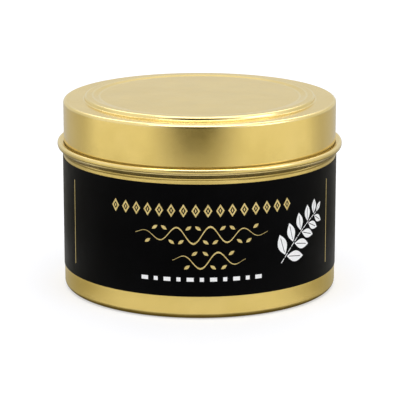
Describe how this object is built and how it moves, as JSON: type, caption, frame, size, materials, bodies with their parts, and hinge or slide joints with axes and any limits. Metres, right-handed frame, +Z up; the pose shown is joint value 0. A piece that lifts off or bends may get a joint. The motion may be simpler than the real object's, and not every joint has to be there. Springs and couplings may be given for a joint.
{
  "type": "citronella candle",
  "caption": "Round gold candle tin with a slip-on lid, a rolled bead, a black wrap label and a poured wax candle with a cotton wick.",
  "frame": {"origin": "centre of the foot, on the surface the tin stands on", "axes": "+Z up along the tin's axis, -Y towards the middle of the label"},
  "size_m": [0.0802, 0.0802, 0.0544],
  "materials": {
    "gold_tinplate": "satin gold lacquer on tinplate",
    "label_black": "satin printed film",
    "gold_foil": "satin foil print",
    "white_ink": "matt ink",
    "wax": "smooth translucent wax",
    "cotton": "braided and waxed",
    "tab_steel": "plain",
    "sticker": "foam tape"
  },
  "bodies": {
    "tin": {"tin_body": "gold_tinplate", "label": "label_black", "label_gold_print": "gold_foil", "label_white_print": "white_ink", "wax": "wax", "wick": "cotton", "wick_tab": "tab_steel", "wick_sticker": "sticker"},
    "lid": {"lid": "gold_tinplate"}
  },
  "joints": [
    {"name": "lid_lift", "type": "slide", "parent": "tin", "child": "lid", "axis": [0, 0, 1], "range_m": [0, 0.02]}
  ]
}
